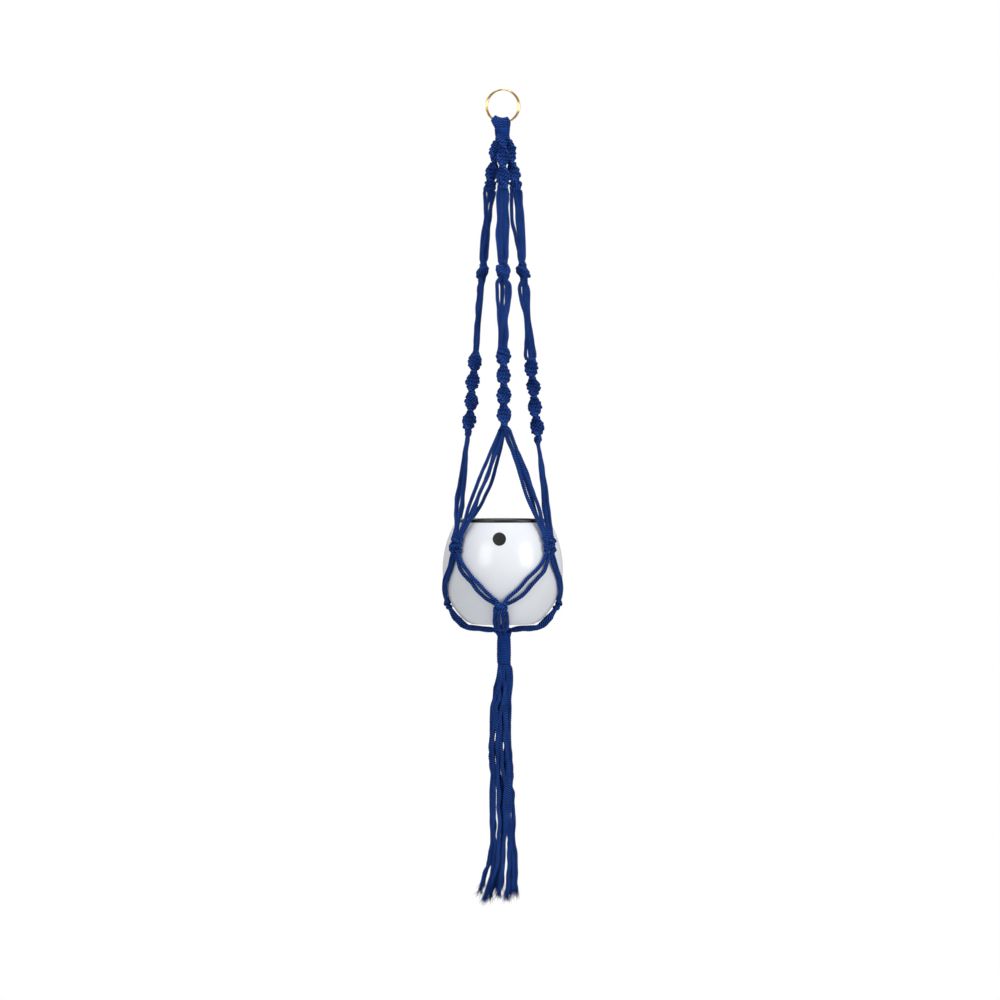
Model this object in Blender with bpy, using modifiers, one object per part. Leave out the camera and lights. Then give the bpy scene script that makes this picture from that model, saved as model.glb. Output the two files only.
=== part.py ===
"""A knotted cord hanger for a round pot.

The hanger hangs from a ring. Four arms of cord run down from the ring. Each arm parts into two
legs, which meet the legs of the neighbouring arms in knots round the pot. The cords gather under
the pot in a wrap and end in a tassel. Units are metres, +Z is up, and the origin is the point of
the ring's eye that bears on a hook.
"""

import math

import bmesh
import bpy
from mathutils import Matrix, Vector

# Fits
FACE_GAP = 0.0003
POT_CLEARANCE = 0.0010
HINGE_CLEARANCE = 0.0006

# Ring
RING_EYE_RADIUS = 0.0186
RING_WIRE_RADIUS = 0.0019
LOOPS_HALF_ANGLE = math.radians(27)

# Cords: a pair is two strands side by side, a group is the four strands of an arm
STRAND_RADIUS = 0.0021
PAIR_RADIUS = 0.0029
GROUP_RADIUS = 0.0046
BUNDLE_RADIUS = 0.0040

# Lengths down an arm, in order
TOP_WRAP_LENGTH = 0.0165
UPPER_TWIST_LENGTH = 0.0510
COLLAR_KNOT_LENGTH = 0.0100
UPPER_CORDS_LENGTH = 0.0880
MID_KNOT_LENGTH = 0.0230
LOWER_CORDS_LENGTH = 0.0850
LOWER_TWIST_LENGTH = 0.0990
LEG_DROP = 0.1345

# Thicknesses of what is knotted or wrapped
TOP_WRAP_RADIUS = 0.0090
UPPER_BULGE_RADIUS = 0.0066
LOWER_BULGE_RADIUS = 0.0080
TWIST_WAIST_RADIUS = 0.0046
COLLAR_KNOT_RADIUS = 0.0055
MID_KNOT_RADIUS = 0.0085
NET_KNOT_WIDTH = 0.0156
NET_KNOT_THICKNESS = 0.0090
NET_KNOT_LENGTH = 0.0150
UPPER_TWIST_BULGES = 2
LOWER_TWIST_BULGES = 4

# How far an arm stands from the axis, and the fall of the net round the pot
ARM_COUNT = 4
ARM_TOP_OFFSET = 0.0092
COLLAR_OFFSET = 0.0164
ARM_LEAN = math.radians(4.95)
CROSS_KNOT_AZIMUTH = math.radians(48)
CRADLE_FALL = 2.0

# Pot
POT_HEIGHT = 0.1245
POT_RIM_RADIUS = 0.0560
POT_BELLY_RADIUS = 0.0740
POT_BASE_RADIUS = 0.0415
POT_BELLY_HEIGHT = 0.0660
POT_WALL = 0.0012
POT_FLOOR = 0.0014
RIM_BEAD_RADIUS = 0.0024
CROSS_KNOT_HEIGHT = 0.0950
CRADLE_KNOT_HEIGHT = 0.0270
DOT_RADIUS = 0.0080
DOT_HEIGHT = 0.1050
DOT_AZIMUTH = math.radians(-93.6)
DOT_THICKNESS = 0.0004

# Tail
BASE_WRAP_RADIUS = 0.0080
BASE_WRAP_LENGTH = 0.0300
WRAP_NECK_RADIUS = 0.0050
TASSEL_NECK_RADIUS = 0.0068
TASSEL_BELL_RADIUS = 0.0165
TASSEL_HEM_RADIUS = 0.0225
TASSEL_LENGTH = 0.2828

# Facets
RING_STEPS = 48
RING_SIDES = 12
LOOPS_STEPS = 8
POT_STEPS = 48
RIM_SIDES = 8
POT_ARC_STEPS = 8
WRAP_STEPS = 20
CORD_BEVEL_RESOLUTION = 2
FACETS_PER_BULGE = 4
CRADLE_LEG_POINTS = 9
BUNDLE_WALL_POINTS = 4

COLLECTION = "hanging_planter"

ring_centre = Vector((0, 0, -RING_EYE_RADIUS))
ring_radius = RING_EYE_RADIUS + RING_WIRE_RADIUS
wire_low = ring_centre - Vector((0, 0, ring_radius))
saddle_radius = RING_WIRE_RADIUS + FACE_GAP + 2 * STRAND_RADIUS
arm_azimuths = [math.radians(a) for a in (-90, 0, 90, 180)]
arm_names = ("front", "right", "back", "left")


def clear_scene():
    for thing in list(bpy.data.objects):
        bpy.data.objects.remove(thing)


def new_collection(name):
    made = bpy.data.collections.new(name)
    bpy.context.scene.collection.children.link(made)
    return made


def new_material(name, colour, roughness, metallic=0.0):
    made = bpy.data.materials.new(name)
    made.use_nodes = True
    shader = made.node_tree.nodes["Principled BSDF"]
    shader.inputs["Base Color"].default_value = (*colour, 1)
    shader.inputs["Roughness"].default_value = roughness
    shader.inputs["Metallic"].default_value = metallic
    return made


def place(name, data, material, location=(0, 0, 0)):
    """An object of this data in the part's collection, with the material of its kind."""
    made = bpy.data.objects.new(name, data)
    made.location = location
    data.materials.append(material)
    bpy.data.collections[COLLECTION].objects.link(made)
    return made


def tube(name, points, radii, material):
    """A cord, or a knot as a short thick cord, along the points, with a radius at each of them."""
    curve = bpy.data.curves.new(name, "CURVE")
    curve.dimensions = "3D"
    curve.bevel_depth = 1.0
    curve.bevel_resolution = CORD_BEVEL_RESOLUTION
    curve.use_fill_caps = True
    spline = curve.splines.new("POLY")
    spline.points.add(len(points) - 1)
    for point, place_at, radius in zip(spline.points, points, radii):
        point.co = (*place_at, 1)
        point.radius = radius
    return place(name, curve, material)


def turned(name, profile, steps, material, location=(0, 0, 0)):
    """A profile of (radius, height) points, given down the outside, turned about +Z."""
    mesh = bpy.data.meshes.new(name)
    corners = [(r, 0, z) for r, z in profile]
    mesh.from_pydata(corners, [(i, i + 1) for i in range(len(corners) - 1)], [])
    made = place(name, mesh, material, location)
    screw = made.modifiers.new("Turn", "SCREW")
    screw.steps = steps
    screw.render_steps = steps
    screw.use_merge_vertices = True
    screw.merge_threshold = 0.00001
    screw.use_smooth_shade = True
    return made


def along(start, end, count):
    return [start.lerp(end, i / (count - 1)) for i in range(count)]


def knot(name, centre, up, out, size, material):
    """A tight knot: a short barrel along its cord, with flat ends for the cords to meet. Its size
    is its width, its thickness along out, and its length along up."""
    shape = ((-0.5, 0.40), (-0.28, 0.49), (0, 0.5), (0.28, 0.49), (0.5, 0.40))
    points = [Vector((0, 0, share)) for share, _ in shape]
    made = tube(name, points, [swell for _, swell in shape], material)
    up = up.normalized()
    side = out.cross(up).normalized()
    turned_to = Matrix((side, up.cross(side), up)).transposed().to_4x4()
    made.matrix_world = Matrix.Translation(centre) @ turned_to @ Matrix.Diagonal((*size, 1))
    return made


def outward(azimuth):
    return Vector((math.cos(azimuth), math.sin(azimuth), 0))


def sideways(azimuth):
    return Vector((-math.sin(azimuth), math.cos(azimuth), 0))


# Heights down the hanger
loops_low = wire_low.z - saddle_radius
top_wrap_top = loops_low - HINGE_CLEARANCE
top_wrap_low = top_wrap_top - TOP_WRAP_LENGTH
upper_twist_low = top_wrap_low - UPPER_TWIST_LENGTH
collar_low = upper_twist_low - COLLAR_KNOT_LENGTH
upper_cords_low = collar_low - UPPER_CORDS_LENGTH
mid_knot_low = upper_cords_low - MID_KNOT_LENGTH
lower_cords_low = mid_knot_low - LOWER_CORDS_LENGTH
lower_twist_low = lower_cords_low - LOWER_TWIST_LENGTH
cross_knot_z = lower_twist_low - LEG_DROP - NET_KNOT_LENGTH / 2
pot_base_z = cross_knot_z - CROSS_KNOT_HEIGHT
bundle_z = pot_base_z - POT_CLEARANCE - BUNDLE_RADIUS


def arm_point(azimuth, z):
    """The arm's centre line: it leans out a little from the top wrap to the collar knot, then
    hangs straight and slowly outward."""
    if z > collar_low:
        share = (top_wrap_low - z) / (top_wrap_low - collar_low)
        offset = ARM_TOP_OFFSET + (COLLAR_OFFSET - ARM_TOP_OFFSET) * share
    else:
        offset = COLLAR_OFFSET + (collar_low - z) * math.tan(ARM_LEAN)
    return outward(azimuth) * offset + Vector((0, 0, z))


def arc_radius(reach):
    """The radius of the arc that is upright at the belly and stands at this radius and height."""
    inset, rise = reach
    return (inset**2 + rise**2) / (2 * inset)


lower_arc = arc_radius((POT_BELLY_RADIUS - POT_BASE_RADIUS, POT_BELLY_HEIGHT))
upper_arc = arc_radius((POT_BELLY_RADIUS - POT_RIM_RADIUS, POT_HEIGHT - POT_BELLY_HEIGHT))


def pot_radius(height, clear=0.0):
    """The distance from the axis of a point that stands off the pot's wall by clear, square to
    the wall, from the wall point at this height over the base. It comes with its own height."""
    arc = lower_arc if height < POT_BELLY_HEIGHT else upper_arc
    rise = height - POT_BELLY_HEIGHT
    level = math.sqrt(arc**2 - rise**2)
    grown = (arc + clear) / arc
    return POT_BELLY_RADIUS - arc + level * grown, POT_BELLY_HEIGHT + rise * grown


def on_pot(azimuth, height, clear):
    radius, stands = pot_radius(height, clear)
    return outward(azimuth) * radius + Vector((0, 0, pot_base_z + stands))


def make_ring(material):
    bpy.ops.mesh.primitive_torus_add(
        location=ring_centre,
        rotation=(math.radians(90), 0, 0),
        major_radius=ring_radius,
        minor_radius=RING_WIRE_RADIUS,
        major_segments=RING_STEPS,
        minor_segments=RING_SIDES,
    )
    ring = bpy.context.object
    ring.name = "ring"
    ring.data.name = "ring"
    ring.data.shade_smooth()
    ring.data.materials.append(material)
    for holder in list(ring.users_collection):
        holder.objects.unlink(ring)
    bpy.data.collections[COLLECTION].objects.link(ring)


def make_loops(material, cutters):
    """The folded cords as a saddle: a curved sleeve over the wire, cut to the wire's clearance."""
    turns = [LOOPS_HALF_ANGLE * (2 * i / LOOPS_STEPS - 1) for i in range(LOOPS_STEPS + 1)]
    points = [
        ring_centre + Vector((math.sin(a), 0, -math.cos(a))) * ring_radius for a in turns
    ]
    sleeve = tube("loops_sleeve", points, [saddle_radius] * len(points), material)
    bpy.context.view_layer.update()
    graph = bpy.context.evaluated_depsgraph_get()
    mesh = bpy.data.meshes.new_from_object(sleeve.evaluated_get(graph))
    bpy.data.objects.remove(sleeve)
    work = bmesh.new()
    work.from_mesh(mesh)
    bmesh.ops.remove_doubles(work, verts=work.verts, dist=0.00001)
    work.to_mesh(mesh)
    work.free()
    mesh.materials.clear()
    loops = place("cord_loops", mesh, material)
    bpy.ops.mesh.primitive_torus_add(
        location=ring_centre,
        rotation=(math.radians(90), 0, 0),
        major_radius=ring_radius,
        minor_radius=RING_WIRE_RADIUS + FACE_GAP,
        major_segments=RING_STEPS * 2,
        minor_segments=RING_SIDES,
    )
    cutter = bpy.context.object
    cutter.name = "wire_clearance"
    cutter.hide_render = True
    cutter.display_type = "WIRE"
    for holder in list(cutter.users_collection):
        holder.objects.unlink(cutter)
    cutters.objects.link(cutter)
    cut = loops.modifiers.new("Wire clearance", "BOOLEAN")
    cut.operation = "DIFFERENCE"
    cut.object = cutter


def make_top_wrap(material):
    edge = TOP_WRAP_RADIUS * 0.12
    profile = (
        (0, top_wrap_top),
        (TOP_WRAP_RADIUS - edge, top_wrap_top),
        (TOP_WRAP_RADIUS, top_wrap_top - edge),
        (TOP_WRAP_RADIUS - edge, top_wrap_low + FACE_GAP + edge),
        (TOP_WRAP_RADIUS - 2 * edge, top_wrap_low + FACE_GAP),
        (0, top_wrap_low + FACE_GAP),
    )
    turned("top_wrap", profile, WRAP_STEPS, material)


def make_twist(name, azimuth, top, low, bulges, bulge_radius, material):
    """A spiral of half knots: round, with a bulge at each half turn of the spiral."""
    count = bulges * FACETS_PER_BULGE + 1
    start = arm_point(azimuth, top - FACE_GAP)
    points = along(start, arm_point(azimuth, low + FACE_GAP), count)
    middle = (bulge_radius + TWIST_WAIST_RADIUS) / 2
    swing = (bulge_radius - TWIST_WAIST_RADIUS) / 2
    waves = [2 * math.pi * i / FACETS_PER_BULGE for i in range(count)]
    tube(name, points, [middle - swing * math.cos(w) for w in waves], material)


def make_group(name, azimuth, top, low, material):
    """The four free strands of an arm, between two knots."""
    points = along(arm_point(azimuth, top - FACE_GAP), arm_point(azimuth, low + FACE_GAP), 4)
    swell = (0.9, 1.05, 1.05, 0.9)
    tube(name, points, [GROUP_RADIUS * share for share in swell], material)


def make_arm_knot(name, azimuth, top, low, radius, material):
    upper = arm_point(azimuth, top - FACE_GAP)
    lower = arm_point(azimuth, low + FACE_GAP)
    size = (2 * radius, 2 * radius, (upper - lower).length)
    knot(name, (upper + lower) / 2, upper - lower, outward(azimuth), size, material)


def make_arm(azimuth, side, material):
    make_twist(f"upper_twist_{side}", azimuth, top_wrap_low, upper_twist_low,
               UPPER_TWIST_BULGES, UPPER_BULGE_RADIUS, material)
    make_arm_knot(f"collar_knot_{side}", azimuth, upper_twist_low, collar_low,
                  COLLAR_KNOT_RADIUS, material)
    make_group(f"upper_cords_{side}", azimuth, collar_low, upper_cords_low, material)
    make_arm_knot(f"mid_knot_{side}", azimuth, upper_cords_low, mid_knot_low,
                  MID_KNOT_RADIUS, material)
    make_group(f"lower_cords_{side}", azimuth, mid_knot_low, lower_cords_low, material)
    make_twist(f"lower_twist_{side}", azimuth, lower_cords_low, lower_twist_low,
               LOWER_TWIST_BULGES, LOWER_BULGE_RADIUS, material)


def net_knot_centre(azimuth, height):
    return on_pot(azimuth, height, NET_KNOT_THICKNESS / 2 + POT_CLEARANCE)


def make_net_knot(name, azimuth, height, material):
    """A square knot that lies against the pot's wall."""
    size = (NET_KNOT_WIDTH, NET_KNOT_THICKNESS, NET_KNOT_LENGTH)
    centre = net_knot_centre(azimuth, height)
    knot(name, centre, wall_up(azimuth, height), outward(azimuth), size, material)


def wall_up(azimuth, height):
    """The upward direction along the pot's wall."""
    step = 0.001
    low = on_pot(azimuth, height - step, 0)
    return (on_pot(azimuth, height + step, 0) - low).normalized()


def shortened(points, start_gap, end_gap):
    """The points with both ends drawn in along the cord."""
    first = (points[1] - points[0]).normalized() * start_gap
    last = (points[-2] - points[-1]).normalized() * end_gap
    return [points[0] + first, *points[1:-1], points[-1] + last]


def make_leg(name, arm_azimuth, knot_azimuth, turn, material):
    """A pair of strands from the foot of an arm to the knot it shares with a neighbour."""
    half_pair = PAIR_RADIUS + FACE_GAP
    start = arm_point(arm_azimuth, lower_twist_low - FACE_GAP)
    start += sideways(arm_azimuth) * turn * half_pair
    centre = net_knot_centre(knot_azimuth, CROSS_KNOT_HEIGHT)
    end = centre + wall_up(knot_azimuth, CROSS_KNOT_HEIGHT) * NET_KNOT_LENGTH / 2
    end -= sideways(knot_azimuth) * turn * half_pair
    lean = (start - end).normalized()
    tilt = PAIR_RADIUS * math.sqrt(1 - lean.z**2) / lean.z + FACE_GAP
    start -= lean * tilt
    end += lean * tilt
    tube(name, along(start, end, 4), [PAIR_RADIUS] * 4, material)


def make_cradle_leg(name, knot_azimuth, cradle_azimuth, turn, material):
    """A pair of strands from a cross knot down the pot's wall to the cradle knot below an arm."""
    half_pair = PAIR_RADIUS + FACE_GAP
    count = CRADLE_LEG_POINTS
    clear = PAIR_RADIUS + POT_CLEARANCE
    foot = CROSS_KNOT_HEIGHT - NET_KNOT_LENGTH / 2
    head = CRADLE_KNOT_HEIGHT + NET_KNOT_LENGTH / 2
    points = []
    for i in range(count):
        share = i / (count - 1)
        height = foot + (head - foot) * share
        azimuth = knot_azimuth + (cradle_azimuth - knot_azimuth) * share**CRADLE_FALL
        radius = pot_radius(height, clear)[0]
        spread = (1 - share) ** 4 - share**4
        azimuth += turn * spread * half_pair / radius
        points.append(on_pot(azimuth, height, clear))
    lean = (points[0] - points[1]).normalized()
    start_tilt = PAIR_RADIUS * math.sqrt(1 - lean.z**2) + 2 * FACE_GAP
    end_lean = (points[-2] - points[-1]).normalized()
    square = end_lean.dot(wall_up(cradle_azimuth, CRADLE_KNOT_HEIGHT))
    end_tilt = PAIR_RADIUS * math.sqrt(1 - min(square, 1) ** 2) / square + 2 * FACE_GAP
    points = shortened(points, start_tilt, end_tilt)
    tube(name, points, [PAIR_RADIUS] * count, material)


def make_base_bundle(name, azimuth, material):
    """Four strands from a cradle knot round the pot's lower edge to the middle of its underside."""
    clear = BUNDLE_RADIUS + POT_CLEARANCE
    start_height = CRADLE_KNOT_HEIGHT - NET_KNOT_LENGTH / 2 - 2 * FACE_GAP
    count = BUNDLE_WALL_POINTS
    heights = [start_height * (1 - i / (count - 1)) for i in range(count)]
    points = [on_pot(azimuth, h, clear) for h in heights]
    corner = outward(azimuth) * POT_BASE_RADIUS + Vector((0, 0, pot_base_z))
    spoke = points[-1] - corner
    leaving = math.atan2(spoke.z, spoke.dot(outward(azimuth)))
    for share in (0.5, 1):
        turn = leaving + (-math.pi / 2 - leaving) * share
        points.append(corner + (outward(azimuth) * math.cos(turn)
                                + Vector((0, 0, math.sin(turn)))) * clear)
    meeting = BUNDLE_RADIUS + FACE_GAP
    for share in (0.5, 1):
        radius = POT_BASE_RADIUS + (meeting - POT_BASE_RADIUS) * share
        points.append(outward(azimuth) * radius + Vector((0, 0, bundle_z)))
    tube(name, points, [BUNDLE_RADIUS] * len(points), material)


def make_pot(material):
    """A turned shell: down the outside, across the base, and up the inside."""
    rises = [i / POT_ARC_STEPS for i in range(POT_ARC_STEPS + 1)]
    upper = [POT_HEIGHT + (POT_BELLY_HEIGHT - POT_HEIGHT) * s for s in rises]
    lower = [POT_BELLY_HEIGHT * (1 - s) for s in rises[1:]]
    outside = [pot_radius(h) for h in upper + lower]
    inside = [pot_radius(h, -POT_WALL) for h in upper + lower[:-1] if h > POT_FLOOR * 2]
    floor_radius = pot_radius(POT_FLOOR, -POT_WALL)[0]
    profile = [*outside, (0, 0)]
    profile += [(0, POT_FLOOR), (floor_radius, POT_FLOOR)]
    profile += [*reversed(inside), outside[0]]
    turned("pot", profile, POT_STEPS, material, (0, 0, pot_base_z))


def make_rim(material):
    centre_z = pot_base_z + POT_HEIGHT + FACE_GAP + RIM_BEAD_RADIUS
    bpy.ops.mesh.primitive_torus_add(
        location=(0, 0, centre_z),
        major_radius=POT_RIM_RADIUS - POT_WALL / 2,
        minor_radius=RIM_BEAD_RADIUS,
        major_segments=POT_STEPS,
        minor_segments=RIM_SIDES,
    )
    rim = bpy.context.object
    rim.name = "pot_rim"
    rim.data.name = "pot_rim"
    rim.data.shade_smooth()
    rim.data.materials.append(material)
    for holder in list(rim.users_collection):
        holder.objects.unlink(rim)
    bpy.data.collections[COLLECTION].objects.link(rim)


def make_dot(material):
    """A thin round disc bent to the pot's wall."""
    work = bmesh.new()
    bmesh.ops.create_circle(work, cap_ends=True, segments=24, radius=DOT_RADIUS)
    bmesh.ops.inset_region(work, faces=work.faces[:], thickness=DOT_RADIUS * 0.5)
    bmesh.ops.poke(work, faces=[f for f in work.faces if len(f.verts) > 4])
    for vert in work.verts:
        radius, stands = pot_radius(DOT_HEIGHT + vert.co.y, FACE_GAP)
        azimuth = DOT_AZIMUTH + vert.co.x / radius
        vert.co = outward(azimuth) * radius + Vector((0, 0, pot_base_z + stands))
    bmesh.ops.recalc_face_normals(work, faces=work.faces)
    mesh = bpy.data.meshes.new("pot_dot")
    work.to_mesh(mesh)
    work.free()
    if mesh.polygons[0].normal.y > 0:
        mesh.flip_normals()
    dot = place("pot_dot", mesh, material)
    skin = dot.modifiers.new("Thickness", "SOLIDIFY")
    skin.thickness = DOT_THICKNESS
    skin.offset = 1


def make_base_wrap(material, hinge_z):
    """A bound column whose rounded neck turns freely under the gathered strands."""
    dome = [math.radians(a) for a in (90, 65, 40, 15)]
    profile = [
        (WRAP_NECK_RADIUS * math.cos(a), WRAP_NECK_RADIUS * math.sin(a)) for a in dome
    ]
    profile += [
        (BASE_WRAP_RADIUS * 0.86, -WRAP_NECK_RADIUS * 0.4),
        (BASE_WRAP_RADIUS, -WRAP_NECK_RADIUS),
        (BASE_WRAP_RADIUS, -WRAP_NECK_RADIUS - BASE_WRAP_LENGTH * 0.9),
        (BASE_WRAP_RADIUS * 0.88, -WRAP_NECK_RADIUS - BASE_WRAP_LENGTH),
        (0, -WRAP_NECK_RADIUS - BASE_WRAP_LENGTH),
    ]
    profile[0] = (0, WRAP_NECK_RADIUS)
    turned("base_wrap", profile, WRAP_STEPS, material, (0, 0, hinge_z))


def make_tassel(material, hinge_z):
    dome = [math.radians(a) for a in (90, 60, 30, 0)]
    profile = [
        (TASSEL_NECK_RADIUS * math.cos(a), TASSEL_NECK_RADIUS * math.sin(a)) for a in dome
    ]
    profile[0] = (0, TASSEL_NECK_RADIUS)
    body = ((0.05, 0.62), (0.10, 0.75), (0.25, 0.82), (0.50, 1.00), (0.80, 1.06))
    profile += [(TASSEL_BELL_RADIUS * swell, -TASSEL_LENGTH * s) for s, swell in body]
    profile += [
        (TASSEL_HEM_RADIUS, -TASSEL_LENGTH * 0.95),
        (TASSEL_HEM_RADIUS * 0.9, -TASSEL_LENGTH),
        (0, -TASSEL_LENGTH),
    ]
    turned("tassel", profile, WRAP_STEPS, material, (0, 0, hinge_z))


def hang_on(empty_name, location, parent, names):
    """An empty on a joint's axis that carries the pieces which move with the joint."""
    pivot = bpy.data.objects.new(empty_name, None)
    pivot.empty_display_size = 0.01
    pivot.location = location
    bpy.data.collections[COLLECTION].objects.link(pivot)
    bpy.context.view_layer.update()
    if parent:
        pivot.parent = parent
        pivot.matrix_parent_inverse = parent.matrix_world.inverted()
        bpy.context.view_layer.update()
    for name in names:
        piece = bpy.data.objects[name]
        piece.parent = pivot
        piece.matrix_parent_inverse = pivot.matrix_world.inverted()
    bpy.context.view_layer.update()
    return pivot


def main():
    clear_scene()
    new_collection(COLLECTION)
    cutters = new_collection("cutters")
    gold = new_material("ring_gold", (0.80, 0.58, 0.28), 0.2, 1.0)
    cord = new_material("cord_blue", (0.010, 0.030, 0.150), 0.85)
    white = new_material("pot_white", (0.86, 0.87, 0.89), 0.15)
    black = new_material("pot_black", (0.012, 0.012, 0.014), 0.3)

    make_ring(gold)
    make_loops(cord, cutters)
    make_top_wrap(cord)
    for azimuth, side in zip(arm_azimuths, arm_names):
        make_arm(azimuth, side, cord)

    quarter = 2 * math.pi / ARM_COUNT
    for i, side in enumerate(arm_names):
        neighbour = arm_names[(i + 1) % ARM_COUNT]
        this_arm, next_arm = arm_azimuths[i], arm_azimuths[i] + quarter
        front_back = side in ("front", "back")
        reach = CROSS_KNOT_AZIMUTH if front_back else quarter - CROSS_KNOT_AZIMUTH
        knot_azimuth = this_arm + reach
        pair = f"{side}_{neighbour}"
        make_leg(f"leg_{side}_to_{neighbour}", this_arm, knot_azimuth, 1, cord)
        make_leg(f"leg_{neighbour}_to_{side}", next_arm, knot_azimuth, -1, cord)
        make_net_knot(f"cross_knot_{pair}", knot_azimuth, CROSS_KNOT_HEIGHT, cord)
        make_cradle_leg(f"cradle_leg_{pair}_to_{side}", knot_azimuth, this_arm, -1, cord)
        make_cradle_leg(f"cradle_leg_{pair}_to_{neighbour}", knot_azimuth, next_arm, 1, cord)
        make_net_knot(f"cradle_knot_{side}", this_arm, CRADLE_KNOT_HEIGHT, cord)
        make_base_bundle(f"base_bundle_{side}", this_arm, cord)

    make_pot(white)
    make_rim(black)
    make_dot(black)
    wrap_hinge_z = bundle_z - BUNDLE_RADIUS - HINGE_CLEARANCE - WRAP_NECK_RADIUS
    wrap_low = wrap_hinge_z - WRAP_NECK_RADIUS - BASE_WRAP_LENGTH
    tassel_hinge_z = wrap_low - HINGE_CLEARANCE - TASSEL_NECK_RADIUS
    make_base_wrap(cord, wrap_hinge_z)
    make_tassel(cord, tassel_hinge_z)

    pot_pieces = ["pot", "pot_rim", "pot_dot"]
    apart = ["ring", "cord_loops", *pot_pieces, "base_wrap", "tassel"]
    knotted = [o.name for o in bpy.data.collections[COLLECTION].objects if o.name not in apart]
    loops_pivot = hang_on("loops_pivot", ring_centre, None, ["cord_loops"])
    hanger_pivot = hang_on("hanger_pivot", wire_low, loops_pivot, knotted)
    hang_on("pot_pivot", Vector((0, 0, pot_base_z)), hanger_pivot, pot_pieces)
    wrap_pivot = hang_on("wrap_pivot", Vector((0, 0, wrap_hinge_z)), hanger_pivot, ["base_wrap"])
    hang_on("tassel_pivot", Vector((0, 0, tassel_hinge_z)), wrap_pivot, ["tassel"])


main()
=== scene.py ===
import math

import bpy
import numpy as np
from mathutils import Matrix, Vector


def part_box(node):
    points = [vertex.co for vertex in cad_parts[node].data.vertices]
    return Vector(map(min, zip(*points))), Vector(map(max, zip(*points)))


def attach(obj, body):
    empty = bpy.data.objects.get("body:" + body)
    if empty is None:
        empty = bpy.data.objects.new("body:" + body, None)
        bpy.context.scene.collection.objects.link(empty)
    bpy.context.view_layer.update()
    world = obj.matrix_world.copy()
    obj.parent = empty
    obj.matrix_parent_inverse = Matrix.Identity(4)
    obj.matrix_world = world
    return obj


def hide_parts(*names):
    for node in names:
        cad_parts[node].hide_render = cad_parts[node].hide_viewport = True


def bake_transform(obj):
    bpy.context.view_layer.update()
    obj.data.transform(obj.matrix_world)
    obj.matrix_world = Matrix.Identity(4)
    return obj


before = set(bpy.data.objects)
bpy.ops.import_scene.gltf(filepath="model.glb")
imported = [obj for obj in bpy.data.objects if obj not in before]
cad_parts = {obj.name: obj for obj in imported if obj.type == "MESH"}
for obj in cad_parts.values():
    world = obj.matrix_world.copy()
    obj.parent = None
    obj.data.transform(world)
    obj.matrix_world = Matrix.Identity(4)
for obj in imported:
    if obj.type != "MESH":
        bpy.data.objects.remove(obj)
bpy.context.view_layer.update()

# Camera: level with the middle of the hanger and square to its front, a little left of the axis, with a
# long lens so that the ring and the tassel are both seen almost straight on.
bpy.ops.object.camera_add(location=(-0.0034, -3.417, -0.5033), rotation=(math.pi / 2, 0, 0))
camera = bpy.context.object
camera.data.lens = 100
camera.data.sensor_width = 36
camera.data.clip_start = 0.1
bpy.context.scene.camera = camera


# Tassel: the sixteen strands of the hanger hang free below the base wrap. They are 4.6 mm cotton cord,
# three plies laid up with an S twist and dyed navy, cut by hand to different lengths, with frayed ends.
CORD = 0.0046                                     # diameter of the cord, metres
LAY = 0.0087                                      # one full turn of the three plies along the cord
# The navy of the dyed cord, with a near-black that is painted shade for the grooves between plies and a
# lighter blue that is painted light for their crests.
NAVY, NAVY_PAINTED_LIGHT, NAVY_PAINTED_SHADE = "0E2C72", "2E59AC", "000104"


def linear(code):
    """Linear red, green, blue and alpha of an sRGB hex colour."""
    parts = [int(code[i:i + 2], 16) / 255 for i in (0, 2, 4)]
    return [c / 12.92 if c <= 0.04045 else ((c + 0.055) / 1.055) ** 2.4 for c in parts] + [1.0]


def add(tree, kind, inputs=None, stops=(), **settings):
    """Adds a node to a material, sets it, and links or fills its inputs. A colour ramp has stops too,
    each a place along it and a hex colour."""
    new = tree.nodes.new("ShaderNode" + kind)
    for name, value in settings.items():
        setattr(new, name, value)
    while stops and len(new.color_ramp.elements) < len(stops):
        new.color_ramp.elements.new(0.5)
    for element, (place, code) in zip(new.color_ramp.elements if stops else (), stops):
        element.position, element.color = place, linear(code)
    for name, value in (inputs or {}).items():
        if isinstance(value, bpy.types.NodeSocket):
            tree.links.new(value, new.inputs[name])
        else:
            new.inputs[name].default_value = value
    return new


def material(name):
    """An empty node material, with its tree and its surface socket."""
    made = bpy.data.materials.new(name)
    made.use_nodes = True
    made.node_tree.nodes.clear()
    return made, made.node_tree, add(made.node_tree, "OutputMaterial").inputs["Surface"]


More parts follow.
